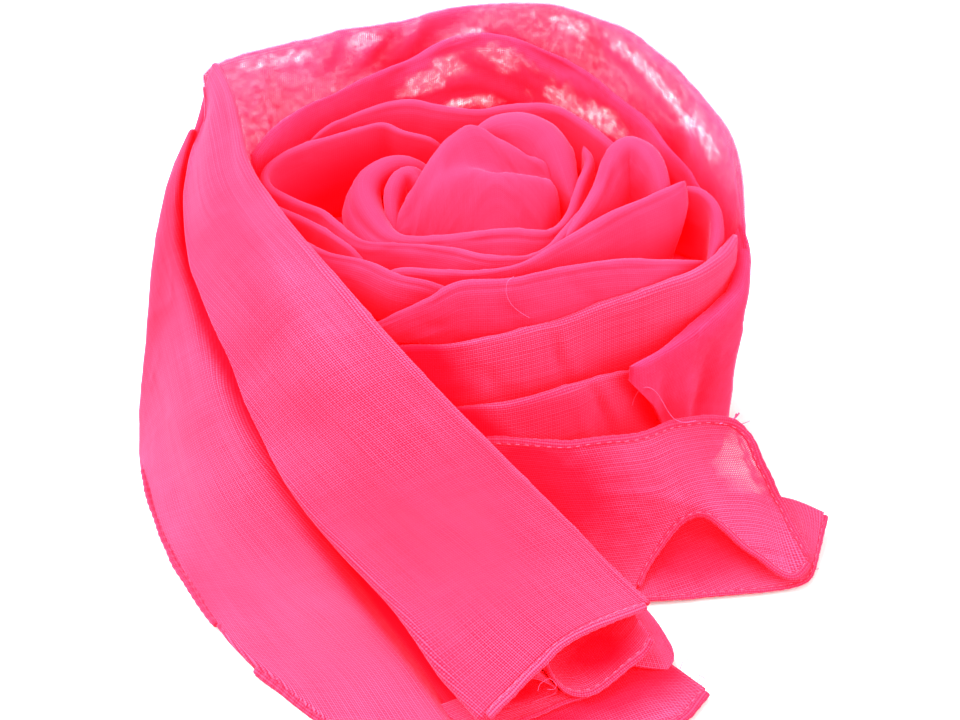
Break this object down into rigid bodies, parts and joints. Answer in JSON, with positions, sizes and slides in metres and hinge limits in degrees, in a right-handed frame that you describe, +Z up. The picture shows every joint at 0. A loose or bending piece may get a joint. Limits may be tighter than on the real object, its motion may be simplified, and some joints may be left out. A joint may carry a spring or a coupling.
{
  "type": "cotton scarf",
  "caption": "Cotton voile scarf folded lengthwise and wound into a rose-like roll, with one hemmed end drawn over its front as a flat tail.",
  "frame": {"origin": "middle of the roll's flat underside, on the surface that the scarf rests on", "axes": "+Z up along the roll's axis, -Y towards the open tail end and the viewer, +X to the viewer's right"},
  "size_m": [0.2041, 0.2072, 0.104],
  "materials": {
    "voile": "hot pink plain-weave cotton voile, matt, folded layers",
    "voile_sheer": "hot pink cotton voile in a single sheer layer that light passes through",
    "hem": "narrow rolled hem sewn in matching thread"
  },
  "bodies": {
    "root": {"packed_layers": "voile", "bud": "voile", "bud_back": "voile", "turn_1": "voile", "turn_2_back": "voile", "turn_2_left": "voile", "turn_2_front": "voile", "turn_3_left": "voile", "turn_3": "voile", "turn_4": "voile", "turn_5": "voile", "turn_6": "voile", "turn_7": "voile", "turn_8_right": "voile_sheer", "petal_right": "voile", "pocket_right": "voile", "back_fold_1": "voile", "back_fold_2": "voile_sheer", "wall_back": "voile_sheer", "side_left": "voile", "tail_top": "voile", "tail_return": "voile", "tail_under": "voile", "tail_middle": "voile", "tail_bottom": "voile", "end_upper": "voile_sheer", "end_lower": "voile", "hem_tail_end": "hem", "hem_tail_side": "hem", "hem_tail_middle": "hem", "hem_tail_bottom": "hem", "hem_end_top": "hem", "hem_end_wave": "hem", "hem_end_lower": "hem"}
  },
  "joints": []
}
